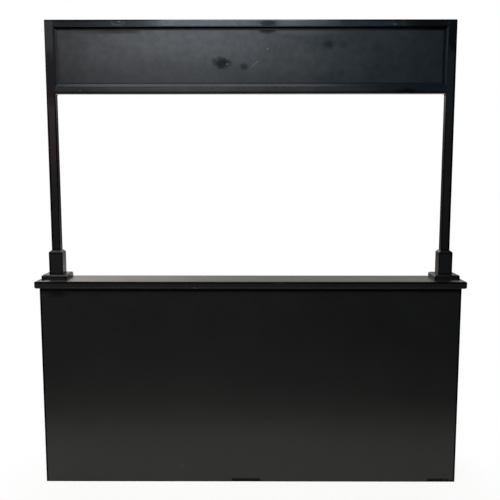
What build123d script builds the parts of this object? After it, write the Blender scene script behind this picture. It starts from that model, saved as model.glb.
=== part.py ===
from build123d import *
import os

os.makedirs("parts", exist_ok=True)

# Free-standing wooden market stall: a boarded counter, a moulded ledge on top of it, and two posts
# in square sockets that carry a framed name board. Millimetres, +Z up, customer side at -Y.
# While it is drawn, Y = 0 is the outer face of the front panel and X = 0 is the middle of the
# counter; the finished pieces are moved so that the origin lies under the middle of the ledge.

# Counter
body_width = 2000.0
body_depth = 178.0
counter_height = 995.0
panel_thickness = 12.0
panel_arris = 3.5
frame_size = 38.0
bearer_width = 20.0
shelf_thickness = 12.0
shelf_height = 470.0

# Low notches in the foot of the front panel
notch_height = 18.0
centre_notch_length = 140.0
centre_notch_shift = -20.5
end_notch_length = 104.0
end_notch_inset = 30.0

# Ledge with its nosing
board_thickness = 18.0
nosing_projection = 18.0
nosing_height = 34.0
nosing_top_radius = 5.0
nosing_foot_radius = 9.0

# Base plates, sockets and posts
post_size = 42.0
post_inset = 57.0
post_top = 2214.0
arris_radius = 4.5
socket_wall = 12.0
socket_height = 115.0
socket_top_drop = 9.0
plate_width = 121.0
plate_depth = 128.0
plate_thickness = 21.0
plate_bevel = 6.0
plate_corner_radius = 6.0
plate_shift = 2.5
top_land = 1.0

# Header
header_height = 338.0
header_rail_height = 33.0
opening_corner_radius = 7.0
header_panel_thickness = 9.0
header_recess = 12.0
groove_depth = 6.0
bead_rebate = 3.5
bead_width = 15.5
bead_setback = 1.5
bead_quirk = 2.0
bead_nose = 4.0

# Gap left round a piece that is let into another
fit_clearance = 0.3

half_width = body_width / 2
board_bottom = counter_height - board_thickness
inner_half_width = half_width - panel_thickness
post_centre = half_width - post_inset
post_middle_y = body_depth - plate_depth / 2
post_foot = counter_height + plate_thickness
socket_size = post_size + 2 * (socket_wall + fit_clearance)
header_bottom = post_top - header_height
header_half_width = post_centre - post_size / 2
header_front = post_middle_y - post_size / 2
header_back = post_middle_y + post_size / 2
header_panel_front = header_front + header_recess
ledge_middle_y = (body_depth - nosing_projection) / 2
PARTS = {}


def block(x0, x1, y0, y1, z0, z1):
    """A squared piece of timber between six planes."""
    size = Box(x1 - x0, y1 - y0, z1 - z0)
    return Pos((x0 + x1) / 2, (y0 + y1) / 2, (z0 + z1) / 2) * size


def both_sides(name, solid):
    """Keep a right-hand piece and its mirrored left-hand twin."""
    PARTS[name + "_right"] = solid
    PARTS[name + "_left"] = mirror(solid, about=Plane.YZ)


def plan_prism(points, z0, z1):
    """A prism over an outline drawn in plan."""
    outline = Plane.XY.offset(z0) * make_face(Polyline(*points, close=True))
    return extrude(outline, z1 - z0)


def elevation_prism(points, y0, y1):
    """A prism behind an outline drawn in front elevation as X and Z."""
    plane = Plane(origin=(0, y0, 0), x_dir=(1, 0, 0), z_dir=(0, -1, 0))
    outline = plane * make_face(Polyline(*points, close=True))
    return extrude(outline, -(y1 - y0))


def run_of(profile, start, outward, length):
    """Run a moulding profile, drawn as projection and height, for a length along a wall."""
    along = Vector(*outward).cross(Vector(0, 0, 1))
    plane = Plane(origin=start, x_dir=outward, z_dir=along)
    return extrude(plane * profile, length / 2, both=True)


def front_panel():
    """Painted board that covers the frame and the side panels' ends, eased and notched at its foot."""
    panel = block(-half_width, half_width, 0, panel_thickness, 0, board_bottom)
    face = panel.faces().sort_by(Axis.Y)[0]
    panel = fillet(face.edges().sort_by(Axis.Z)[:-1], panel_arris)
    centre_notch_end = centre_notch_shift + centre_notch_length / 2
    end_notch_end = half_width - end_notch_inset
    for right, length in (
        (centre_notch_end, centre_notch_length),
        (end_notch_end, end_notch_length),
    ):
        panel -= block(right - length, right, -1, panel_thickness + 1, -1, notch_height)
    return panel


def carcass_frame():
    """Corner posts, long rails and middle studs behind the panels; the back stays open."""
    front_back = panel_thickness + frame_size
    rows = {"front": (panel_thickness, front_back), "back": (body_depth - frame_size, body_depth)}
    post_inner = inner_half_width - frame_size
    for row, (y0, y1) in rows.items():
        both_sides(
            "corner_post_" + row,
            block(post_inner, inner_half_width, y0, y1, 0, board_bottom),
        )
        PARTS["bottom_rail_" + row] = block(
            -post_inner, post_inner, y0, y1, 0, frame_size
        )
        PARTS["top_rail_" + row] = block(
            -post_inner, post_inner, y0, y1, board_bottom - frame_size, board_bottom
        )
        PARTS["centre_stud_" + row] = block(
            -frame_size / 2, frame_size / 2, y0, y1, frame_size, board_bottom - frame_size
        )


def shelf():
    """Shelf on three bearers, notched round the posts and studs."""
    y0 = panel_thickness
    solid = block(
        -inner_half_width, inner_half_width, y0, body_depth, shelf_height, shelf_height + shelf_thickness
    )
    reach = frame_size + fit_clearance
    for y in (y0, body_depth - reach):
        for x0, x1 in (
            (-inner_half_width, -inner_half_width + reach),
            (-frame_size / 2 - fit_clearance, frame_size / 2 + fit_clearance),
            (inner_half_width - reach, inner_half_width),
        ):
            solid -= block(x0, x1, y, y + reach, shelf_height - 1, shelf_height + shelf_thickness + 1)
    return solid


def shelf_bearers():
    """Short bearers between the front and back uprights."""
    y0 = panel_thickness + frame_size
    y1 = body_depth - frame_size
    z0 = shelf_height - frame_size
    both_sides(
        "shelf_bearer",
        block(inner_half_width - bearer_width, inner_half_width, y0, y1, z0, shelf_height),
    )
    PARTS["shelf_bearer_centre"] = block(
        -bearer_width / 2, bearer_width / 2, y0, y1, z0, shelf_height
    )


def nosing_profile():
    """Ledge nosing: eased top arris, upright face and a larger round under it."""
    top = counter_height
    foot = counter_height - nosing_height
    out = nosing_projection
    line = Polyline((0, foot), (0, top), (out - nosing_top_radius, top))
    line += RadiusArc((out - nosing_top_radius, top), (out, top - nosing_top_radius), nosing_top_radius)
    line += Line((out, top - nosing_top_radius), (out, foot + nosing_foot_radius))
    line += RadiusArc((out, foot + nosing_foot_radius), (out - nosing_foot_radius, foot), nosing_foot_radius)
    line += Line((out - nosing_foot_radius, foot), (0, foot))
    return make_face(line)


def mitred_surround(name, profile, projection, z0, z1):
    """Run a profile round the front and both ends, mitred at the corners."""
    w = half_width
    p = projection
    front = run_of(profile, (0, 0, 0), (0, -1, 0), body_width + 2 * p)
    front_cut = plan_prism([(-w, 0), (w, 0), (w + p, -p), (-w - p, -p)], z0, z1)
    PARTS[name + "_front"] = front & front_cut
    side = run_of(profile, (w, body_depth / 2, 0), (1, 0, 0), body_depth + 4 * p)
    side_cut = plan_prism([(w, 0), (w + p, -p), (w + p, body_depth), (w, body_depth)], z0, z1)
    both_sides(name, side & side_cut)


def weathered_block(width, depth, height, run, drop):
    """Block with its top sloped down to all four sides, standing on Z = 0."""
    solid = Pos(0, 0, height / 2) * Box(width, depth, height)
    top = solid.faces().sort_by(Axis.Z)[-1]
    return chamfer(top.edges(), run, drop, reference=top)


def base_plate():
    """Bevelled plate under a socket, flush with the back of the ledge and set a little outward."""
    plate = weathered_block(plate_width, plate_depth, plate_thickness, plate_bevel, plate_bevel)
    plate = fillet(plate.edges().filter_by(Axis.Z), plate_corner_radius)
    return Pos(post_centre + plate_shift, post_middle_y, counter_height) * plate


def socket():
    """Square tube that the post drops into, its top sloped from the post."""
    run = socket_wall - top_land
    outer = weathered_block(socket_size, socket_size, socket_height, run, socket_top_drop)
    outer = fillet(outer.edges().filter_by(Axis.Z), arris_radius)
    bore = socket_size - 2 * socket_wall
    return Pos(post_centre, post_middle_y, post_foot) * (outer - Box(bore, bore, 3 * socket_height))


def bead_opening():
    """Space in front of the header panel, with the shallow rebate that the beads are let into."""
    w = header_half_width + bead_rebate
    z0 = header_bottom + header_rail_height - bead_rebate
    z1 = post_top - header_rail_height + bead_rebate
    return block(-w, w, header_front - 1, header_panel_front, z0, z1)


def header_groove(x0, x1, z0, z1):
    """Space of the groove that the header panel is let into."""
    y0 = header_panel_front - fit_clearance
    return block(x0, x1, y0, y0 + header_panel_thickness + 2 * fit_clearance, z0, z1)


def portal():
    """Both posts with the lower header rail, its corners and arrises rounded in one run."""
    rail_top = header_bottom + header_rail_height
    reach = post_centre
    solid = block(-reach, reach, header_front, header_back, header_bottom, rail_top)
    for x in (-post_centre, post_centre):
        solid += block(
            x - post_size / 2, x + post_size / 2, header_front, header_back, post_foot, post_top
        )
    inner_corners = [
        edge
        for edge in solid.edges().filter_by(Axis.Y)
        if abs(edge.center().Z - header_bottom) < 0.1
    ]
    solid = fillet(inner_corners, opening_corner_radius)
    outside = post_centre + post_size / 2
    arrises = []
    for edge in solid.edges():
        middle = edge.center()
        on_face = min(abs(middle.Y - header_front), abs(middle.Y - header_back)) < 0.1
        at_outside = abs(abs(middle.X) - outside) < 0.1 and middle.Z > post_foot + 0.1
        at_top = abs(middle.Z - post_top) < 0.1
        round_opening = post_foot + 0.1 < middle.Z < header_bottom + 0.1
        if on_face and (at_outside or at_top or round_opening):
            arrises.append(edge)
        elif at_outside and at_top:
            arrises.append(edge)
    return fillet(arrises, arris_radius)


def posts_and_header_rails():
    """Posts that are the header's stiles, and rails between them, all grooved for the panel."""
    frame = portal()
    tall = 2 * post_top
    far = body_width
    low = header_bottom + header_rail_height - groove_depth
    high = post_top - header_rail_height + groove_depth
    post = frame & block(header_half_width, far, -far, far, 0, tall)
    post -= header_groove(header_half_width - 1, header_half_width + groove_depth, low, high)
    both_sides("post", post - bead_opening())
    w = header_half_width
    rail = frame & block(-w, w, -far, far, 0, tall)
    PARTS["header_bottom_rail"] = rail - header_groove(-w - 1, w + 1, low, high) - bead_opening()
    rail = block(-w, w, header_front, header_back, post_top - header_rail_height, post_top)
    upper = rail.faces().sort_by(Axis.Z)[-1]
    rail = fillet(upper.edges().filter_by(Axis.X), arris_radius)
    PARTS["header_top_rail"] = rail - header_groove(-w - 1, w + 1, low, high) - bead_opening()


def header_panel():
    """Thin board housed on all four edges."""
    reach = groove_depth - fit_clearance
    return block(
        -header_half_width - reach,
        header_half_width + reach,
        header_panel_front,
        header_panel_front + header_panel_thickness,
        header_bottom + header_rail_height - reach,
        post_top - header_rail_height + reach,
    )


def bead_profile():
    """Bevelled bead, drawn as reach over the panel and depth behind the frame face."""
    return make_face(
        Polyline(
            (0, -bead_setback),
            (bead_quirk, -bead_setback),
            (bead_width, bead_nose - header_recess),
            (bead_width, -header_recess),
            (0, -header_recess),
            close=True,
        )
    )


def header_beads():
    """Four bevelled beads let in round the panel and mitred at the corners."""
    x1 = header_half_width + bead_rebate
    z0 = header_bottom + header_rail_height - bead_rebate
    z1 = post_top - header_rail_height + bead_rebate
    w = bead_width
    y0 = header_front
    y1 = header_panel_front
    middle_z = (z0 + z1) / 2
    cuts = {
        "bottom": [(-x1, z0), (x1, z0), (x1 - w, z0 + w), (-x1 + w, z0 + w)],
        "top": [(-x1, z1), (x1, z1), (x1 - w, z1 - w), (-x1 + w, z1 - w)],
        "left": [(-x1, z0), (-x1, z1), (-x1 + w, z1 - w), (-x1 + w, z0 + w)],
        "right": [(x1, z0), (x1, z1), (x1 - w, z1 - w), (x1 - w, z0 + w)],
    }
    starts = {
        "bottom": ((0, y0, z0), (0, 0, 1)),
        "top": ((0, y0, z1), (0, 0, -1)),
        "left": ((-x1, y0, middle_z), (1, 0, 0)),
        "right": ((x1, y0, middle_z), (-1, 0, 0)),
    }
    for side, (start, inward) in starts.items():
        along = Vector(*inward).cross(Vector(0, -1, 0))
        plane = Plane(origin=start, x_dir=inward, z_dir=along)
        strip = extrude(plane * bead_profile(), body_width / 2, both=True)
        PARTS["header_bead_" + side] = strip & elevation_prism(cuts[side], y0, y1)


PARTS["front_panel"] = front_panel()
both_sides(
    "side_panel",
    block(inner_half_width, half_width, panel_thickness, body_depth, 0, board_bottom),
)
carcass_frame()
PARTS["shelf"] = shelf()
shelf_bearers()
PARTS["ledge_board"] = block(
    -half_width, half_width, 0, body_depth, board_bottom, counter_height
)
mitred_surround(
    "nosing",
    nosing_profile(),
    nosing_projection,
    counter_height - nosing_height - 1,
    counter_height + 1,
)
both_sides("base_plate", base_plate())
both_sides("socket", socket())
posts_and_header_rails()
PARTS["header_panel"] = header_panel()
header_beads()

for name, solid in PARTS.items():
    placed = Pos(0, -ledge_middle_y, 0) * solid
    placed.label = name
    export_step(placed, f"parts/{name}.step")
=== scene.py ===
import math

import bmesh
import bpy
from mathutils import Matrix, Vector


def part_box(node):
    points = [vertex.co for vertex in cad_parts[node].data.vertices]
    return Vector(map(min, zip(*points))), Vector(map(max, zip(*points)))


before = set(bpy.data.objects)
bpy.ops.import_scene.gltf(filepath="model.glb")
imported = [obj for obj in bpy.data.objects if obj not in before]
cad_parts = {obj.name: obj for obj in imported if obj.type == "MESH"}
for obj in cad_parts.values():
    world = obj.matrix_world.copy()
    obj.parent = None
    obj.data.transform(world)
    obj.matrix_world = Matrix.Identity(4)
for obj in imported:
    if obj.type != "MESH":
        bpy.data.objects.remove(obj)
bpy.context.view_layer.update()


# CARCASS FRAME
# Four corner posts, four long rails, two middle studs and three shelf bearers behind the panels.
# Sawn 38 mm softwood, butted and screwed, brushed with one thin coat of black paint.

# Millimetres in a metre: sizes on the stall are written in mm.
MM = 1000.0

# Sizes of the patterns in the paint. Real brush ridges and grain are 1 to 3 mm wide, which the
# render can't show, so the grain is drawn 7 mm wide and the brush's stipple 4 to 5 mm.
CLOUD_SIZE = 160
PATCH_SIZE = 34
GRAIN_WIDTH = 7
GRAIN_LENGTH = 260
NOISE_LOW, NOISE_HIGH = 0.3, 0.7

# How much the clouds, patches and stipple change the colour, the roughness and the sheen.
LIGHTER, DARKER = 1.5, 0.5
STIPPLE_SHARE = 0.65
PATCH_SHARE = 0.6
SMOOTHER, ROUGHER = 0.015, 0.02

# Cosines: the painted dark reflection on a rounded arris starts 40 degrees off its direction and is
# full from 32. The flat faces beside it are 45 degrees off and stay as they are.
DARK_ARRIS_FROM, DARK_ARRIS_FULLY = 0.76, 0.85
# A painted dark reflection on rounded arrises: near black and without sheen.
DARK_ARRIS_SHEEN = 0.03
DARK_ARRIS_COLOUR = "#040404"
PAINT_IOR = 1.5


def linear(hex_colour):
    """sRGB hex to the linear colour that the shaders take."""
    values = [int(hex_colour[i:i + 2], 16) / 255 for i in (1, 3, 5)]
    return [v / 12.92 if v <= 0.04045 else ((v + 0.055) / 1.055) ** 2.4 for v in values] + [1.0]


def add(tree, kind, settings, links=None):
    """Add a node, set its properties and socket values, and link its inputs."""
    made = tree.nodes.new(kind)
    for key, value in settings.items():
        if isinstance(key, str) and hasattr(made, key):
            setattr(made, key, value)
        else:
            made.inputs[key].default_value = value
    for key, source in (links or {}).items():
        tree.links.new(source, made.inputs[key])
    return made


def marked_area(tree, mm, spot):
    """How strongly a mark covers each point: fully inside its core, not at all past its torn edge."""
    half_width, half_height = spot["half"]
    local = add(tree, "ShaderNodeMapping",
                {"vector_type": "TEXTURE", "Location": spot["centre"],
                 "Rotation": (0, math.radians(spot["turn"]), 0),
                 "Scale": (half_width, spot["deep"], half_height)},
                {"Vector": mm})
    reach = add(tree, "ShaderNodeVectorMath", {"operation": "LENGTH"}, {0: local.outputs[0]})
    edge = add(tree, "ShaderNodeTexNoise", {"Scale": 1 / spot["ragged"], "Detail": 3.0}, {"Vector": mm})
    torn = add(tree, "ShaderNodeMath",
               {"operation": "MULTIPLY_ADD", 1: spot["tear"], 2: -spot["tear"] / 2},
               {0: edge.outputs["Fac"]})
    shape = add(tree, "ShaderNodeMath", {"operation": "ADD"},
                {0: reach.outputs["Value"], 1: torn.outputs[0]})
    covered = add(tree, "ShaderNodeMapRange",
                  {"interpolation_type": "SMOOTHSTEP", "From Min": 1.0, "From Max": spot["core"],
                   "To Min": 0.0, "To Max": spot["strength"]},
                  {"Value": shape.outputs[0]})
    return covered.outputs[0]


def black_paint(name, colour, texture, grain_axis, roughness, marks=(), painted_dark_arrises=(),
                sheen=0.5, tint="#ffffff", patchy=0.12):
    """Black oil paint on timber: cloudy colour and gloss, grain and stipple, marks, and painted light and
    shade.

    texture holds the depth of the timber's grain and the size and depth of the stipple that brush,
    roller or spray left, in mm. sheen is the strength of the reflections, tint a colour painted into
    them for the colour of the light, and patchy how much they vary from place to place.
    painted_dark_arrises holds the directions that rounded arrises face where a dark reflection is
    painted on, near black and without sheen.
    """
    material = bpy.data.materials.new(name)
    material.use_nodes = True
    tree = material.node_tree
    tree.nodes.clear()
    place = add(tree, "ShaderNodeTexCoord", {})
    scaled = add(tree, "ShaderNodeVectorMath", {"operation": "SCALE", "Scale": MM},
                 {0: place.outputs["Object"]})
    mm = scaled.outputs[0]

    # The coat lies thicker and thinner in broad clouds, with smaller patches in them.
    clouds = add(tree, "ShaderNodeTexNoise",
                 {"Scale": 1 / CLOUD_SIZE, "Detail": 3.0, "Roughness": 0.55}, {"Vector": mm})
    patches = add(tree, "ShaderNodeTexNoise",
                  {"Scale": 1 / PATCH_SIZE, "Detail": 4.0, "Roughness": 0.6}, {"Vector": mm})
    stretch = [1 / GRAIN_WIDTH] * 3
    stretch["XYZ".index(grain_axis)] = 1 / GRAIN_LENGTH
    along = add(tree, "ShaderNodeMapping", {"Scale": stretch}, {"Vector": mm})
    grain = add(tree, "ShaderNodeTexNoise", {"Scale": 1.0, "Detail": 4.0, "Roughness": 0.6},
                {"Vector": along.outputs[0]})
    stipple = add(tree, "ShaderNodeTexNoise", {"Scale": 1 / texture["stipple_size"], "Detail": 2.0},
                  {"Vector": mm})

    base = linear(colour)[:3]
    lighter = [min(1.0, v * LIGHTER) for v in base] + [1.0]
    darker = [v * DARKER for v in base] + [1.0]
    flecks = add(tree, "ShaderNodeMix", {"data_type": "FLOAT", 0: STIPPLE_SHARE},
                 {2: clouds.outputs["Fac"], 3: stipple.outputs["Fac"]})
    tone = add(tree, "ShaderNodeMix", {"data_type": "RGBA", 6: darker, 7: lighter},
               {0: flecks.outputs[0]})
    gloss = add(tree, "ShaderNodeMapRange",
                {"From Min": NOISE_LOW, "From Max": NOISE_HIGH,
                 "To Min": roughness - SMOOTHER, "To Max": roughness + ROUGHER},
                {"Value": clouds.outputs["Fac"]})
    uneven = add(tree, "ShaderNodeMix", {"data_type": "FLOAT", 0: PATCH_SHARE},
                 {2: clouds.outputs["Fac"], 3: patches.outputs["Fac"]})
    shine = add(tree, "ShaderNodeMapRange",
                {"From Min": NOISE_LOW, "From Max": NOISE_HIGH,
                 "To Min": sheen * (1 - patchy), "To Max": sheen * (1 + patchy)},
                {"Value": uneven.outputs[0]})
    colour_out = tone.outputs[2]
    sheen_out = shine.outputs[0]

    for spot in marks:
        covered = marked_area(tree, mm, spot)
        if spot["colour"] is not None:
            over = add(tree, "ShaderNodeMix", {"data_type": "RGBA", 7: linear(spot["colour"])},
                       {0: covered, 6: colour_out})
            colour_out = over.outputs[2]
        if spot["sheen"] is not None:
            changed = add(tree, "ShaderNodeMix", {"data_type": "FLOAT", 3: spot["sheen"]},
                          {0: covered, 2: sheen_out})
            sheen_out = changed.outputs[0]

    # Painted dark reflections on rounded arrises: the sheen goes and the colour turns near black.
    for direction in painted_dark_arrises:
        facing = add(tree, "ShaderNodeVectorMath",
                     {"operation": "DOT_PRODUCT", 1: Vector(direction).normalized()},
                     {0: place.outputs["Normal"]})
        dark_arris = add(tree, "ShaderNodeMapRange",
                   {"interpolation_type": "SMOOTHSTEP",
                    "From Min": DARK_ARRIS_FROM, "From Max": DARK_ARRIS_FULLY},
                   {"Value": facing.outputs["Value"]})
        dull = add(tree, "ShaderNodeMix", {"data_type": "FLOAT", 3: DARK_ARRIS_SHEEN},
                   {0: dark_arris.outputs[0], 2: sheen_out})
        sheen_out = dull.outputs[0]
        dark = add(tree, "ShaderNodeMix", {"data_type": "RGBA", 7: linear(DARK_ARRIS_COLOUR)},
                   {0: dark_arris.outputs[0], 6: colour_out})
        colour_out = dark.outputs[2]

    ridges = add(tree, "ShaderNodeBump", {"Strength": 1.0, "Distance": texture["grain_depth"] / MM},
                 {"Height": grain.outputs["Fac"]})
    dimples = add(tree, "ShaderNodeBump", {"Strength": 1.0, "Distance": texture["stipple_depth"] / MM},
                  {"Height": stipple.outputs["Fac"], "Normal": ridges.outputs[0]})
    shader = add(tree, "ShaderNodeBsdfPrincipled",
                 {"IOR": PAINT_IOR, "Specular Tint": linear(tint), "Specular IOR Level": sheen},
                 {"Base Color": colour_out, "Roughness": gloss.outputs[0],
                  "Specular IOR Level": sheen_out, "Normal": dimples.outputs[0]})
    add(tree, "ShaderNodeOutputMaterial", {}, {"Surface": shader.outputs[0]})
    return material


# The weld only joins a CAD node's loose triangles, over a gap in metres. Arrises that turn by less
# than the angle stay as they are.
WELD_GAP = 0.00002
SHARP_ARRIS = math.radians(40)


def finish_piece(node, paint, arris):
    """Paint a piece of the frame, and ease its arrises by so many mm, as sandpaper does."""
    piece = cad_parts[node]
    piece.data.materials.clear()
    piece.data.materials.append(paint)
    weld = piece.modifiers.new("weld", "WELD")
    weld.merge_threshold = WELD_GAP
    ease = piece.modifiers.new("eased_arris", "BEVEL")
    ease.width = arris / MM
    ease.segments = 2
    ease.limit_method = "ANGLE"
    ease.angle_limit = SHARP_ARRIS
    ease.harden_normals = True


# A thin dull coat that lets the ridges of the sawn grain show, upright on posts and level on rails.
SAWN_TIMBER = {"grain_depth": 0.25, "stipple_size": 5.0, "stipple_depth": 0.03}
upright_frame_paint = black_paint(
    "brushed_black_paint_on_sawn_softwood_upright", "#0e0e0e", SAWN_TIMBER, grain_axis="Z",
    roughness=0.5,
)
level_frame_paint = black_paint(
    "brushed_black_paint_on_sawn_softwood_level", "#0e0e0e", SAWN_TIMBER, grain_axis="X",
    roughness=0.5,
)

# The rails at the floor are painted duller and darker, as painted shade behind the notches, with blue
# light painted into their colour and reflections.
foot_rail_paint = black_paint(
    "black_paint_with_painted_shade_on_foot_rail", "#0b0d0f", SAWN_TIMBER, grain_axis="X", roughness=0.55,
    sheen=0.32, tint="#d8eeff",
)

SAWN_ARRIS = 1.0
for row in ("front", "back"):
    for side in ("left", "right"):
        finish_piece(f"corner_post_{row}_{side}", upright_frame_paint, arris=SAWN_ARRIS)
    finish_piece(f"centre_stud_{row}", upright_frame_paint, arris=SAWN_ARRIS)
    finish_piece(f"top_rail_{row}", level_frame_paint, arris=SAWN_ARRIS)
    finish_piece(f"bottom_rail_{row}", foot_rail_paint, arris=SAWN_ARRIS)
for side in ("left", "right", "centre"):
    finish_piece(f"shelf_bearer_{side}", level_frame_paint, arris=SAWN_ARRIS)


# PANELS AND SHELF
# 12 mm plywood glued and pinned over the frame, filled, sanded and rolled with black eggshell paint.
# The front board is one sheet with two shallow notches at its foot, and a scratch low on the left.

def side_at(node, which):
    """Where one side of a piece lies, in mm."""
    low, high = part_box(node)
    sides = {"left": low.x, "right": high.x, "front": low.y, "back": high.y,
             "foot": low.z, "head": high.z}
    return sides[which] * MM


def mark(centre, half, strength, core=0.6, colour=None, sheen=None, deep=8.0, ragged=8.0, tear=0.9,
         turn=0.0):
    """A spot on one face, an ellipse with a torn edge, in mm: wear, dirt, uneven paint, painted light and
    shade.

    half is half its width and height, deep how far it reaches into the timber, and turn its tilt in
    degrees. It has its full strength inside core, a share of its size. ragged is the size of the
    tears in its edge, tear how far they cut in, and colour and sheen are what it leaves.
    """
    return {"centre": centre, "half": half, "strength": strength, "core": core, "colour": colour,
            "sheen": sheen, "deep": deep, "ragged": ragged, "tear": tear, "turn": turn}


def dull_line(centre, half, sheen=0.05, strength=1.0, deep=8.0):
    """A dark strip without sheen along an arris, edge or joint: mostly painted shade and dark
    reflections.
    """
    return mark(centre, half, strength, core=0.75, colour="#050505", sheen=sheen, deep=deep,
                ragged=60.0, tear=0.12)


# Half the length of a strip that runs past both ends of its piece and so keeps its width.
ALL_ALONG = 9000
PANEL_FACE = side_at("front_panel", "front")
PANEL_LEFT = side_at("front_panel", "left")
PANEL_RIGHT = side_at("front_panel", "right")
PANEL_MIDDLE = 480
NOSE_FOOT = side_at("nosing_front", "foot")

# An even soft sheen over the low dimples that a roller leaves. Real ones lie about 3 mm apart, and
# are drawn 9 mm apart, because finer ones wouldn't show.
ROLLED_BOARD = {"grain_depth": 0.03, "stipple_size": 9.0, "stipple_depth": 0.1}
panel_paint = black_paint(
    "rolled_black_eggshell_on_plywood", "#0c0c0c", ROLLED_BOARD, grain_axis="X", roughness=0.32,
    marks=[
        # The glossier middle of the board.
        mark((0, PANEL_FACE, PANEL_MIDDLE), (1100, 420), 0.9, core=0.2, colour="#0e0e0e", sheen=0.58,
             ragged=60.0, tear=0.2),
        # The scratch low on the left, and two faint scuffs.
        mark((-337, PANEL_FACE, 81), (11, 2.4), 0.3, colour="#6d6c68", ragged=5.0, turn=-12),
        mark((11, PANEL_FACE, 707), (17, 6), 0.25, colour="#26262a", ragged=9.0),
        mark((75, PANEL_FACE, 614), (14, 7), 0.25, colour="#26262a", ragged=9.0),
        # The duller upper left corner, then painted shade and dark reflections: the nosing's shadow under
        # it, dark reflections down both end arrises, and shade along the foot and in the lower right
        # corner.
        mark((-918, PANEL_FACE, 932), (70, 24), 0.85, core=0.2, sheen=0.16, ragged=25.0),
        dull_line((0, PANEL_FACE, NOSE_FOOT - 10), (ALL_ALONG, 7.5), sheen=0.14),
        dull_line((PANEL_LEFT, PANEL_FACE, PANEL_MIDDLE), (10.5, ALL_ALONG)),
        dull_line((PANEL_RIGHT, PANEL_FACE, PANEL_MIDDLE), (10.5, ALL_ALONG)),
        dull_line((PANEL_LEFT, PANEL_FACE, 0), (900, 7)),
        dull_line((PANEL_RIGHT - 15, PANEL_FACE, 3), (24, 10), sheen=0.12, strength=0.8),
    ],
    # Painted dark reflections on the rounded arrises at both ends and along the foot.
    painted_dark_arrises=[(-1, -1, 0), (1, -1, 0), (0, -1, -1)], patchy=0.06,
)
for board in ("front_panel", "side_panel_left", "side_panel_right", "shelf"):
    finish_piece(board, panel_paint, arris=0.8)


# LEDGE
# An 18 mm board with a planed softwood nosing mitred round its front and ends and hanging over
# the top of the front board. Glued and pinned, then brushed with the same black paint.

NOSE_FACE = side_at("nosing_front", "front")
LEDGE_TOP = side_at("ledge_board", "head")
LEDGE_BACK = side_at("ledge_board", "back")

# Painted highlights: pale patches along the ledge and nosing just in front of the base plates.
PAINTED_LIGHT_LINE = NOSE_FACE + 26
painted_light_by_plates = [
    mark((middle, PAINTED_LIGHT_LINE, LEDGE_TOP), (half, 6), strength, core=core, colour=colour, deep=34,
         ragged=ragged, tear=0.4)
    for middle, half, strength, core, colour, ragged in (
        (-912, 52, 0.75, 0.4, "#3a3c3b", 30.0),
        (-968, 24, 0.75, 0.4, "#8a8c8b", 20.0),
        (982, 42, 0.8, 0.3, "#6c6e6f", 20.0),
    )
]

# A full coat on a level board, glossy enough to mirror what hangs behind the stall.
BRUSHED_LEDGE = {"grain_depth": 0.04, "stipple_size": 5.0, "stipple_depth": 0.02}
ledge_paint = black_paint(
    "brushed_black_eggshell_on_ledge", "#0e0e0f", BRUSHED_LEDGE, grain_axis="X", roughness=0.27,
    marks=painted_light_by_plates + [
        dull_line((0, LEDGE_BACK, LEDGE_TOP), (ALL_ALONG, 30), sheen=0.25, strength=0.6),
    ],
    patchy=0.22,
)

# Brushed round the moulding, with a dark reflection painted along its rounded upper arris; its face has
# a soft band of light. Its front has a chipped nick low on the left and a short scuff near the top, and
# it shares the ledge's painted highlights by the base plates.
BRUSHED_MOULDING = {"grain_depth": 0.03, "stipple_size": 4.0, "stipple_depth": 0.012}
nosing_paint = black_paint(
    "brushed_black_eggshell_on_nosing", "#0d0d0e", BRUSHED_MOULDING, grain_axis="X", roughness=0.34,
    marks=[
        mark((-263, NOSE_FACE, 964), (13, 6), 0.8, core=0.4, colour="#55545a", deep=14, ragged=6.0,
             tear=0.4),
        mark((137, NOSE_FACE, 988), (30, 4), 0.3, colour="#6a6864", ragged=6.0),
        dull_line((0, NOSE_FACE, LEDGE_TOP - 6.5), (ALL_ALONG, 4.5), sheen=0.15, strength=0.8),
    ] + painted_light_by_plates,
    painted_dark_arrises=[(0, -1, 1)],
)
nosing_end_paint = black_paint(
    "brushed_black_eggshell_on_nosing_end", "#0d0d0e", BRUSHED_MOULDING, grain_axis="Y", roughness=0.34,
    marks=painted_light_by_plates, painted_dark_arrises=[(-1, 0, 1), (1, 0, 1), (0, -1, 1)],
)
finish_piece("ledge_board", ledge_paint, arris=0.6)
finish_piece("nosing_front", nosing_paint, arris=0.5)
for side in ("left", "right"):
    finish_piece(f"nosing_{side}", nosing_end_paint, arris=0.5)


# BASE PLATES AND SOCKETS
# A weathered block fixed down at each end of the ledge and a square timber tube standing on it.
# The tube is glued up from four strips, its top planed to a slope, and holds the foot of the post.

SOCKET_FRONT = side_at("socket_left", "front")
SOCKET_FOOT = side_at("socket_left", "foot")
SOCKET_HEAD = side_at("socket_left", "head")
SOCKET_MIDDLE = (SOCKET_FRONT + side_at("socket_left", "back")) / 2
SOCKET_SLOPE = 9
PLATE_FRONT = side_at("base_plate_left", "front")
PLATE_HEAD = side_at("base_plate_left", "head")
PLATE_BEVEL = 6
# The four upright arrises, which carry painted dark reflections.
DARK_ARRIS_CORNERS = [(-1, -1, 0), (1, -1, 0), (-1, 1, 0), (1, 1, 0)]

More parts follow.
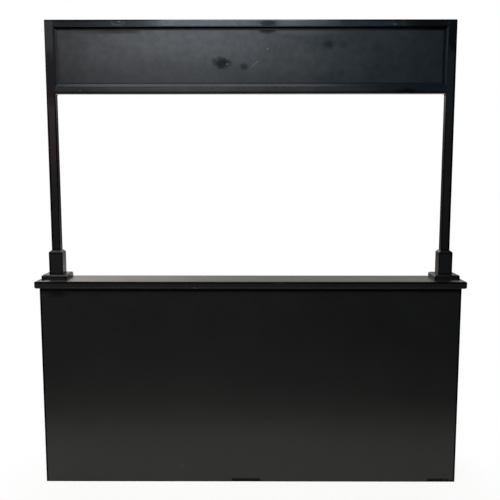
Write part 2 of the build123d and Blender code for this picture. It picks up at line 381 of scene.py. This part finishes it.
# Brushed upright. Painted shade lies where the tube meets the plate, painted dark reflections under the
# sloped top next to the post and down the outer arrises, and a painted highlight on the right one's
# inner side.
socket_paint = black_paint(
    "brushed_black_eggshell_on_socket", "#0d0d0e", BRUSHED_MOULDING, grain_axis="Z", roughness=0.3,
    marks=[
        dull_line((0, SOCKET_FRONT, SOCKET_FOOT + 2), (ALL_ALONG, 5), sheen=0.2, strength=0.8),
        dull_line((0, SOCKET_FRONT, SOCKET_HEAD - SOCKET_SLOPE - 4), (ALL_ALONG, 4), sheen=0.1,
                  strength=0.9),
        dull_line((side_at("socket_left", "left"), SOCKET_FRONT, SOCKET_HEAD), (10, ALL_ALONG)),
        dull_line((side_at("socket_right", "right"), SOCKET_FRONT, SOCKET_HEAD), (10, ALL_ALONG)),
        mark((side_at("socket_right", "left"), SOCKET_MIDDLE, SOCKET_FOOT + 50), (4, 80), 1.0, core=0.5,
             colour="#161617", sheen=1.0, deep=45, ragged=30.0, tear=0.3),
    ],
    painted_dark_arrises=DARK_ARRIS_CORNERS,
)

# The same paint brushed along the plate: its bevel shines, and painted dark reflections lie under the
# bevel, at the ends and on the corners.
plate_paint = black_paint(
    "brushed_black_eggshell_on_plate", "#0d0c0c", BRUSHED_MOULDING, grain_axis="X", roughness=0.32,
    marks=[
        dull_line((0, PLATE_FRONT, PLATE_HEAD - PLATE_BEVEL - 2), (ALL_ALONG, 3), sheen=0.1,
                  strength=0.8),
        dull_line((side_at("base_plate_left", "left"), PLATE_FRONT, PLATE_HEAD - 14), (10, 11)),
        dull_line((side_at("base_plate_right", "right"), PLATE_FRONT, PLATE_HEAD - 14), (16, 11)),
    ],
    painted_dark_arrises=DARK_ARRIS_CORNERS,
)
for side in ("left", "right"):
    finish_piece(f"base_plate_{side}", plate_paint, arris=2.5)
    finish_piece(f"socket_{side}", socket_paint, arris=1.5)


# POSTS AND HEADER RAILS
# Planed 42 mm square posts that run up through the header as its stiles, with a rail let between
# them at the top and bottom of the name board, all rounded over. Brushed black along the grain.

HEADER_FACE = side_at("header_top_rail", "front")
HEADER_TOP = side_at("header_top_rail", "head")
POST_OUTSIDE = side_at("post_right", "right")
POST_MIDDLE = (side_at("post_right", "left") + POST_OUTSIDE) / 2
PLANED_TIMBER = {"grain_depth": 0.04, "stipple_size": 4.0, "stipple_depth": 0.012}

# Painted shade: a dark line where each post enters its socket.
painted_foot_shade = dull_line((0, HEADER_FACE, SOCKET_HEAD + 4), (ALL_ALONG, 6), sheen=0.12, strength=0.8)

# Thin paint on the left post: reddish timber glows through its upper part, and it is dull low down and
# beside the board. Painted shade lies where it enters its socket, and painted dark reflections along
# its outer arris, its top and its corners.
left_post_paint = black_paint(
    "brushed_black_eggshell_on_left_post", "#0e0e11", PLANED_TIMBER, grain_axis="Z", roughness=0.33,
    marks=[
        mark((-POST_MIDDLE, HEADER_FACE, 1690), (70, 260), 0.9, core=0.4, colour="#1b0f11", sheen=0.42,
             deep=60, ragged=50.0),
        mark((-POST_MIDDLE, HEADER_FACE, 1200), (70, 230), 0.8, core=0.3, sheen=0.22,
             deep=60, ragged=50.0),
        painted_foot_shade,
        dull_line((-POST_OUTSIDE, HEADER_FACE, 1450), (12, 650)),
        dull_line((-POST_MIDDLE, HEADER_FACE, HEADER_TOP), (90, 10)),
        mark((-POST_MIDDLE, HEADER_FACE, 1955), (70, 150), 1.0, core=0.5, sheen=0.14, ragged=50.0),
    ],
    painted_dark_arrises=DARK_ARRIS_CORNERS, sheen=0.38,
)

# A fuller coat on the right post, with blue window light painted into its colour, darkest beside the
# name board, with painted shade where it enters its socket and painted dark reflections along its
# outer arris, its top and its corners.
right_post_paint = black_paint(
    "brushed_black_eggshell_on_right_post", "#0b0c0e", PLANED_TIMBER, grain_axis="Z", roughness=0.33,
    marks=[
        painted_foot_shade,
        mark((POST_MIDDLE, HEADER_FACE, 2060), (90, 260), 0.9, core=0.5, colour="#050d13", ragged=50.0),
        dull_line((POST_OUTSIDE, HEADER_FACE, 1800), (12, ALL_ALONG)),
        dull_line((POST_MIDDLE, HEADER_FACE, HEADER_TOP), (90, 10)),
        mark((POST_MIDDLE + 2, HEADER_FACE, 2140), (38, 105), 0.95, core=0.4, colour="#06080b",
             sheen=0.06, ragged=40.0),
    ],
    painted_dark_arrises=DARK_ARRIS_CORNERS, sheen=0.4,
)

# Glossy and uneven from end to end: a painted brown highlight right of the middle, dull at the left and
# in a few smudges, with a pale ring near the left end and blue light painted into its reflections.
TOP_RAIL_LINE = HEADER_TOP - 18
top_rail_paint = black_paint(
    "brushed_black_eggshell_on_top_rail", "#0d0e0f", PLANED_TIMBER, grain_axis="X", roughness=0.24,
    marks=[
        mark((270, HEADER_FACE, TOP_RAIL_LINE), (190, 60), 0.9, core=0.3, colour="#211c16", sheen=1.0,
             deep=60, ragged=60.0, tear=0.5),
        mark((-735, HEADER_FACE, TOP_RAIL_LINE), (265, 60), 0.9, core=0.3, sheen=0.1, deep=60,
             ragged=60.0, tear=0.5),
        mark((-530, HEADER_FACE, TOP_RAIL_LINE), (140, 60), 0.85, core=0.2, sheen=0.13, deep=60,
             ragged=40.0, tear=0.3),
        mark((79, HEADER_FACE, TOP_RAIL_LINE), (50, 20), 0.85, core=0.4, colour="#0a0b0c", sheen=0.12,
             ragged=12.0),
        # The ring: a pale disc, a dark one on it and a pale speck.
        mark((-619, HEADER_FACE, TOP_RAIL_LINE + 4), (38, 17), 0.4, core=0.8, colour="#3b4143", tear=0.4),
        mark((-619, HEADER_FACE, TOP_RAIL_LINE + 7), (27, 12), 1.0, core=0.8, colour="#0e0f10", tear=0.4),
        mark((-612, HEADER_FACE, TOP_RAIL_LINE + 10), (9, 5), 0.6, colour="#6a7072", ragged=6.0),
        # The black line along the top, broken in the middle, and the dark patch at the right end are
        # painted dark reflections; then a speck at the right.
        dull_line((-900, HEADER_FACE, HEADER_TOP), (600, 11)),
        dull_line((1000, HEADER_FACE, HEADER_TOP), (760, 11)),
        mark((835, HEADER_FACE, TOP_RAIL_LINE), (150, 24), 0.9, core=0.3, colour="#070a0e", sheen=0.12,
             ragged=25.0),
        mark((673, HEADER_FACE, TOP_RAIL_LINE - 4), (13, 6), 0.4, colour="#3c4246", ragged=6.0),
    ],
    tint="#e6f6ff", patchy=0.3,
)

# The same gloss on the bottom rail, with painted highlights right of the middle and at the left end,
# blue window light painted in to the right, two dark patches there and a pale speck at the left.
# Painted shade runs under the bead and a painted dark reflection along its lower arris.
BOTTOM_RAIL_HEAD = side_at("header_bottom_rail", "head")
BOTTOM_RAIL_LINE = BOTTOM_RAIL_HEAD - 19

# At its ends the rail reaches lower by the radius of the opening's rounded corners.
CORNER_RADIUS = 7
BOTTOM_RAIL_FOOT = side_at("header_bottom_rail", "foot") + CORNER_RADIUS
bottom_rail_paint = black_paint(
    "brushed_black_eggshell_on_bottom_rail", "#0d0d0e", PLANED_TIMBER, grain_axis="X", roughness=0.24,
    marks=[
        mark((850, HEADER_FACE, BOTTOM_RAIL_LINE), (640, 400), 1.0, core=0.2, colour="#0a1013",
             ragged=60.0, tear=0.1),
        mark((380, HEADER_FACE, BOTTOM_RAIL_LINE), (340, 60), 0.9, core=0.3, sheen=0.84, ragged=60.0,
             tear=0.3),
        mark((-900, HEADER_FACE, BOTTOM_RAIL_LINE), (120, 60), 0.9, core=0.3, sheen=0.62, ragged=60.0,
             tear=0.3),
        mark((618, HEADER_FACE, BOTTOM_RAIL_LINE + 1), (18, 7), 0.7, sheen=0.15),
        mark((742, HEADER_FACE, BOTTOM_RAIL_LINE - 1), (80, 16), 0.9, core=0.1, colour="#05070b",
             sheen=0.05, ragged=16.0),
        mark((-804, HEADER_FACE, BOTTOM_RAIL_LINE - 2), (5, 4), 0.5, colour="#55524e", ragged=4.0),
        dull_line((0, HEADER_FACE, BOTTOM_RAIL_HEAD), (ALL_ALONG, 3), sheen=0.2, strength=0.7),
        dull_line((0, HEADER_FACE, BOTTOM_RAIL_FOOT + 4), (ALL_ALONG, 8), strength=0.45),
    ],
    painted_dark_arrises=[(0, -1, -1)], sheen=0.43, patchy=0.2,
)
finish_piece("post_left", left_post_paint, arris=0.4)
finish_piece("post_right", right_post_paint, arris=0.4)
finish_piece("header_top_rail", top_rail_paint, arris=0.8)
finish_piece("header_bottom_rail", bottom_rail_paint, arris=0.8)


# HEADER PANEL AND BEADS
# A blank 9 mm plywood board held in grooves, with four bevelled beads mitred round its face.
# Sprayed smooth, so it shows hand smudges where the sheen has been rubbed off.

BOARD_FACE = side_at("header_panel", "front")
BOARD_LEFT = side_at("header_bead_left", "right")
BOARD_RIGHT = side_at("header_bead_right", "left")
BOARD_FOOT = side_at("header_bead_bottom", "head")
BOARD_HEAD = side_at("header_bead_top", "foot")

# A soft cloudy gloss that turns cold and darker to the right, where blue window light is painted into
# its colour and reflections. Spray leaves a grain of under 1 mm, which is drawn 9 mm across so that it
# shows.
SPRAYED_BOARD = {"grain_depth": 0.05, "stipple_size": 9.0, "stipple_depth": 0.08}
board_paint = black_paint(
    "smooth_black_eggshell_on_name_board", "#0e0f10", SPRAYED_BOARD, grain_axis="X", roughness=0.33,
    marks=[
        # Painted light: blue window light to the right, painted shade low down and under the top bead at
        # the left, a painted highlight under it right of the middle, and a smear between the smudges.
        mark((850, BOARD_FACE, 2050), (760, 900), 1.0, core=0.2, colour="#0a1115", ragged=60.0, tear=0.1),
        mark((-350, BOARD_FACE, 1940), (800, 150), 0.5, core=0.3, sheen=0.31, ragged=60.0, tear=0.3),
        mark((-100, BOARD_FACE, 1992), (110, 22), 0.5, core=0.2, sheen=0.35, ragged=20.0),
        mark((-615, BOARD_FACE, 2163), (150, 15), 0.6, core=0.3, sheen=0.1, ragged=30.0, tear=0.4),
        mark((260, BOARD_FACE, 2158), (200, 22), 0.8, core=0.3, sheen=0.7, ragged=30.0, tear=0.4),
        # The dark smudges: two left of the middle, two at the right and one under the top bead.
        mark((-138, BOARD_FACE, 2017), (54, 34), 0.9, core=0.35, colour="#090a0b", sheen=0.07,
             ragged=16.0),
        mark((-30, BOARD_FACE, 2000), (27, 23), 0.75, core=0.2, colour="#0b0c0d", sheen=0.1, ragged=12.0),
        mark((369, BOARD_FACE, 2104), (40, 30), 0.75, core=0.2, sheen=0.12, ragged=14.0),
        mark((437, BOARD_FACE, 2100), (26, 24), 0.5, core=0.2, sheen=0.2, ragged=12.0),
        mark((79, BOARD_FACE, 2167), (58, 23), 0.9, core=0.3, sheen=0.08, ragged=14.0),
        # Painted shade beside the beads.
        dull_line((0, BOARD_FACE, BOARD_FOOT + 1), (ALL_ALONG, 4), sheen=0.2, strength=0.7),
        dull_line((0, BOARD_FACE, BOARD_FOOT + 1), (ALL_ALONG, 10), sheen=0.2, strength=0.25),
        dull_line((BOARD_RIGHT, BOARD_FACE, 2050), (9, ALL_ALONG), sheen=0.15, strength=0.8),
        mark((-700, BOARD_FACE, 2162), (230, 18), 0.5, core=0.3, sheen=0.2, ragged=30.0, tear=0.5),
        mark((-911, BOARD_FACE, 2030), (20, 190), 0.6, core=0.2, sheen=0.25, ragged=60.0, tear=0.3),
        # A pale speck and two hairline scratches.
        mark((-110, BOARD_FACE, 2013), (3, 3), 0.7, colour="#8f8d88", ragged=4.0, tear=0.4),
        mark((20, BOARD_FACE, 2013), (28, 1.6), 0.25, colour="#8f8d88", ragged=5.0, turn=-41),
        mark((80, BOARD_FACE, 2082), (9, 1.8), 0.35, colour="#8f8d88", ragged=5.0, turn=-38),
    ],
    sheen=0.51, tint="#f7fbff", patchy=0.25,
)

# Each bead has its own brushing: the bottom one nearly without sheen, with blue window light painted in
# at the right; the right one with blue light painted into its colour and reflections, and its highlight
# narrowed by painted dark strips; the left one with a painted highlight on its inner edge and a purple
# tint painted into its reflections; and the top one painted near black for the rail's shadow, with
# painted highlights on two edges.
BRUSHED_BEAD = {"grain_depth": 0.02, "stipple_size": 4.0, "stipple_depth": 0.01}
bottom_bead_paint = black_paint(
    "brushed_black_eggshell_on_bead", "#0a0b0c", BRUSHED_BEAD, grain_axis="X", roughness=0.28,
    marks=[
        mark((850, BOARD_FACE, BOARD_FOOT), (700, 400), 1.0, core=0.2, colour="#090f12", sheen=0.1,
             deep=90, ragged=60.0, tear=0.1),
    ],
    sheen=0.122, tint="#ecf4ff",
)
right_bead_paint = black_paint(
    "brushed_black_eggshell_on_right_bead", "#080b0d", BRUSHED_BEAD, grain_axis="Z", roughness=0.28,
    marks=[
        dull_line((BOARD_RIGHT, BOARD_FACE, 2190), (9, 150), deep=40),
        dull_line((BOARD_RIGHT, BOARD_FACE, 1990), (5, ALL_ALONG), deep=40),
    ],
    sheen=0.17, tint="#c8e6ff",
)
left_bead_paint = black_paint(
    "brushed_black_eggshell_on_left_bead", "#0d0d11", BRUSHED_BEAD, grain_axis="Z", roughness=0.28,
    marks=[
        mark((BOARD_LEFT, BOARD_FACE, 2030), (8, ALL_ALONG), 0.9, core=0.2, colour="#28282c", deep=40,
             ragged=60.0, tear=0.1),
    ],
    sheen=0.36, tint="#fff0ff",
)
top_bead_paint = black_paint(
    "black_eggshell_with_painted_shadow_on_top_bead", "#040404", BRUSHED_BEAD, grain_axis="X", roughness=0.4,
    marks=[
        # Painted highlights along the bead's two edges.
        mark((-60, BOARD_FACE, BOARD_HEAD), (1150, 5), 0.9, core=0.2, colour="#4a4c4e", deep=30,
             ragged=60.0, tear=0.2),
        mark((-200, HEADER_FACE, side_at("header_bead_top", "head")), (1100, 4), 0.9, core=0.4,
             colour="#5c5e62", deep=30, ragged=60.0, tear=0.2),
    ],
    sheen=0.03,
)
finish_piece("header_panel", board_paint, arris=0.3)
finish_piece("header_bead_top", top_bead_paint, arris=0.4)
finish_piece("header_bead_left", left_bead_paint, arris=0.4)
finish_piece("header_bead_right", right_bead_paint, arris=0.4)
finish_piece("header_bead_bottom", bottom_bead_paint, arris=0.4)


# FLOOR AND LIGHT
# Pale paper under the stall, with painted shade on it as a dark patch inside the stall's open foot, in a
# dim room with white cloths hung behind. A wide soft lamp is high in front, one ahead shines on the name
# board, a small cold one stands right of that, and a weak one hangs over the left end.

# In metres. The floor lies a little below the feet, so that no two faces coincide.
FLOOR_HALF = 4.0
FLOOR_DROP = 0.0005

# The paper is whole around a point in front of the stall, and fades out past these half sizes.
PAPER_MIDDLE_Y = -0.14
PAPER_HALF = (1.3, 0.55, 0.0)
PAPER_FADE = 0.3

# To the camera it is mostly clear near the stall and wholly clear further out, so that it comes out
# as white as the surround and keeps only the soft shadow at the foot.
VEIL_SQUEEZE = (0.75, 1.6, 0.0)
VEIL_FROM, VEIL_TO = 0.55, 1.15
VEIL_AT_STALL = 0.86

# The painted shade ends under the panels and just behind the stall's open back.
SHADE_MIDDLE_Y = 0.012
SHADE_HALF_WIDTH = 0.995
SHADE_HALF_DEPTH = 0.088


def floor_paint():
    """Matt paper that melts into the white surround, with dark painted shade on it under the stall."""
    material = bpy.data.materials.new("pale_studio_floor")
    material.use_nodes = True
    tree = material.node_tree
    tree.nodes.clear()
    place = add(tree, "ShaderNodeTexCoord", {})

    shifted = add(tree, "ShaderNodeVectorMath", {"operation": "ADD", 1: (0.0, -PAPER_MIDDLE_Y, 0.0)},
                  {0: place.outputs["Object"]})
    away = add(tree, "ShaderNodeVectorMath", {"operation": "ABSOLUTE"}, {0: shifted.outputs[0]})
    beyond = add(tree, "ShaderNodeVectorMath", {"operation": "SUBTRACT", 1: PAPER_HALF},
                 {0: away.outputs[0]})
    outside = add(tree, "ShaderNodeVectorMath", {"operation": "MAXIMUM", 1: (0.0, 0.0, 0.0)},
                  {0: beyond.outputs[0]})
    distance = add(tree, "ShaderNodeVectorMath", {"operation": "LENGTH"}, {0: outside.outputs[0]})
    fade = add(tree, "ShaderNodeMapRange",
               {"interpolation_type": "SMOOTHSTEP", "From Min": 0.0, "From Max": PAPER_FADE},
               {"Value": distance.outputs["Value"]})

    squeezed = add(tree, "ShaderNodeVectorMath", {"operation": "MULTIPLY", 1: VEIL_SQUEEZE},
                   {0: away.outputs[0]})
    far = add(tree, "ShaderNodeVectorMath", {"operation": "LENGTH"}, {0: squeezed.outputs[0]})
    veil = add(tree, "ShaderNodeMapRange",
               {"interpolation_type": "SMOOTHSTEP", "From Min": VEIL_FROM, "From Max": VEIL_TO,
                "To Min": VEIL_AT_STALL},
               {"Value": far.outputs["Value"]})
    path = add(tree, "ShaderNodeLightPath", {})
    seen = add(tree, "ShaderNodeMath", {"operation": "MULTIPLY"},
               {0: path.outputs["Is Camera Ray"], 1: veil.outputs[0]})
    thin = add(tree, "ShaderNodeMath", {"operation": "MAXIMUM"}, {0: fade.outputs[0], 1: seen.outputs[0]})

    from_shade = add(tree, "ShaderNodeVectorMath", {"operation": "SUBTRACT", 1: (0.0, SHADE_MIDDLE_Y, 0.0)},
                   {0: place.outputs["Object"]})
    under = add(tree, "ShaderNodeVectorMath", {"operation": "ABSOLUTE"}, {0: from_shade.outputs[0]})
    parts = add(tree, "ShaderNodeSeparateXYZ", {}, {0: under.outputs[0]})
    across = add(tree, "ShaderNodeMath", {"operation": "LESS_THAN", 1: SHADE_HALF_WIDTH},
                 {0: parts.outputs["X"]})
    along = add(tree, "ShaderNodeMath", {"operation": "LESS_THAN", 1: SHADE_HALF_DEPTH},
                {0: parts.outputs["Y"]})
    painted_shade = add(tree, "ShaderNodeMath", {"operation": "MULTIPLY"},
              {0: across.outputs[0], 1: along.outputs[0]})
    unshaded = add(tree, "ShaderNodeMath", {"operation": "SUBTRACT", 0: 1.0}, {1: painted_shade.outputs[0]})
    clearness = add(tree, "ShaderNodeMath", {"operation": "MULTIPLY"},
                    {0: thin.outputs[0], 1: unshaded.outputs[0]})

    # The paper's colour, and the dark painted shade under the stall.
    tone = add(tree, "ShaderNodeMix", {"data_type": "RGBA", 6: linear("#f6f5ee"), 7: linear("#141516")},
               {0: painted_shade.outputs[0]})
    paper = add(tree, "ShaderNodeBsdfDiffuse", {}, {"Color": tone.outputs[2]})
    clear = add(tree, "ShaderNodeBsdfTransparent", {})
    melt = add(tree, "ShaderNodeMixShader", {},
               {0: clearness.outputs[0], 1: paper.outputs[0], 2: clear.outputs[0]})
    add(tree, "ShaderNodeOutputMaterial", {}, {"Surface": melt.outputs[0]})
    return material


def lay_floor():
    """The floor sheet, which isn't part of the stall."""
    shape = bmesh.new()
    bmesh.ops.create_grid(shape, x_segments=1, y_segments=1, size=FLOOR_HALF)
    mesh = bpy.data.meshes.new("studio_floor")
    shape.to_mesh(mesh)
    shape.free()
    floor = bpy.data.objects.new("studio_floor", mesh)
    floor.location.z = -FLOOR_DROP
    bpy.context.scene.collection.objects.link(floor)
    floor.data.materials.append(floor_paint())


DARKEST_CORNER = 0.02


def hang_surround():
    """White to the camera. The paint reflects a dim room instead, with bright cloths hung behind.

    The ramps run over the direction of sight: X to the right, Y away behind the stall and Z up.
    """
    world = bpy.data.worlds.new("white_surround")
    bpy.context.scene.world = world
    world.use_nodes = True
    tree = world.node_tree
    tree.nodes.clear()
    place = add(tree, "ShaderNodeTexCoord", {})
    split = add(tree, "ShaderNodeSeparateXYZ", {}, {0: place.outputs["Generated"]})

    # Each ramp's name, its axis, where along it the ramp starts and ends, and its value at each end.
    ramp = {}
    for name, axis, start, end, low, high in (
        ("upper_cloth", "Z", 0.08, 0.14, 0.0, 1.18),
        ("upper_cloth_dims_rightwards", "X", -0.3, 0.05, 1.0, 0.5),
        ("lower_cloth", "Z", -0.11, -0.15, 0.0, 1.0),
        ("lower_cloth_brightens_rightwards", "X", -0.2, 0.2, 0.35, 1.1),
        ("behind", "Y", 0.45, 0.8, 0.0, 1.0),
        ("front_wall", "Y", 0.0, -0.5, 0.0, 1.0),
        ("front_wall_dims_rightwards", "X", -0.6, 0.1, 0.22, 0.09),
        ("right_half", "X", -0.4, 0.4, 0.0, 1.0),
        ("off_the_floor", "Z", -0.3, 0.1, 0.1, 1.0),
        ("back_half", "Y", -0.1, 0.3, 0.0, 1.0),
    ):
        made = add(tree, "ShaderNodeMapRange",
                   {"interpolation_type": "SMOOTHSTEP", "From Min": start, "From Max": end,
                    "To Min": low, "To Max": high},
                   {"Value": split.outputs[axis]})
        ramp[name] = made.outputs[0]

    upper = add(tree, "ShaderNodeMath", {"operation": "MULTIPLY"},
                {0: ramp["upper_cloth"], 1: ramp["upper_cloth_dims_rightwards"]})
    both = add(tree, "ShaderNodeMath", {"operation": "MULTIPLY_ADD"},
               {0: ramp["lower_cloth"], 1: ramp["lower_cloth_brightens_rightwards"], 2: upper.outputs[0]})
    cloths = add(tree, "ShaderNodeMath", {"operation": "MULTIPLY"},
                 {0: ramp["behind"], 1: both.outputs[0]})
    room = add(tree, "ShaderNodeMath", {"operation": "MULTIPLY_ADD"},
               {0: ramp["front_wall"], 1: ramp["front_wall_dims_rightwards"], 2: cloths.outputs[0]})
    strength = add(tree, "ShaderNodeMath", {"operation": "ADD", 1: DARKEST_CORNER},
                   {0: room.outputs[0]})

    # The light from the right is blue, as from a window, and that from behind is nearly white.
    blueness = add(tree, "ShaderNodeMath", {"operation": "MULTIPLY"},
                   {0: ramp["right_half"], 1: ramp["off_the_floor"]})
    front_tint = add(tree, "ShaderNodeMix",
                     {"data_type": "RGBA", 6: linear("#fff8f6"), 7: linear("#80bcd2")},
                     {0: blueness.outputs[0]})
    tint = add(tree, "ShaderNodeMix", {"data_type": "RGBA", 7: linear("#fffaf4")},
               {0: ramp["back_half"], 6: front_tint.outputs[2]})

    reflected = add(tree, "ShaderNodeBackground", {},
                    {"Color": tint.outputs[2], "Strength": strength.outputs[0]})
    white = add(tree, "ShaderNodeBackground", {"Color": linear("#ffffff"), "Strength": 1.0})
    path = add(tree, "ShaderNodeLightPath", {})
    mix = add(tree, "ShaderNodeMixShader", {},
              {0: path.outputs["Is Camera Ray"], 1: reflected.outputs[0], 2: white.outputs[0]})
    add(tree, "ShaderNodeOutputWorld", {}, {"Surface": mix.outputs[0]})


def soft_lamp(name, place, target, size, watts, colour):
    """An area lamp of a width and height, hung at place and turned to target, in metres."""
    data = bpy.data.lights.new(name, "AREA")
    data.shape = "RECTANGLE"
    data.size, data.size_y = size
    data.energy = watts
    data.color = linear(colour)[:3]
    lamp = bpy.data.objects.new(name, data)
    lamp.location = place
    lamp.rotation_mode = "QUATERNION"
    lamp.rotation_quaternion = (Vector(target) - Vector(place)).to_track_quat("-Z", "Y")
    bpy.context.scene.collection.objects.link(lamp)


lay_floor()
hang_surround()
soft_lamp("overhead_softbox", place=(-0.5, -2.0, 4.2), target=(-0.3, -0.3, 0.6), size=(2.4, 1.6),
          watts=150, colour="#fffdfa")
soft_lamp("ahead_softbox", place=(-0.76, -3.95, 3.1), target=(-0.4, 0, 1.7), size=(1.8, 1.0),
          watts=30, colour="#f3f7ff")
soft_lamp("right_window", place=(0.72, -3.95, 3.2), target=(0.3, 0, 1.7), size=(1.4, 1.0),
          watts=3.2, colour="#a4e0ff")
soft_lamp("left_softbox", place=(-2.0, 0.0, 4.0), target=(-1.2, 0.0, 1.0), size=(1.6, 1.8),
          watts=10, colour="#ffffff")


# CAMERA
# Standing eye height, a little over three metres in front of the stall, tipped down so that the
# whole stall fills the frame. Angles are in degrees and places in metres.

def photo_camera():
    data = bpy.data.cameras.new("photo_camera")
    data.sensor_width = 36.0
    data.lens = 46.84
    camera = bpy.data.objects.new("photo_camera", data)
    camera.location = (0.0098, -3.1175, 1.498)
    tipped_down = 6.648
    turned_left = 0.220
    camera.rotation_euler = (math.radians(90 - tipped_down), 0, math.radians(turned_left))
    bpy.context.scene.collection.objects.link(camera)
    bpy.context.scene.camera = camera


photo_camera()
bpy.context.scene.view_settings.view_transform = "Standard"
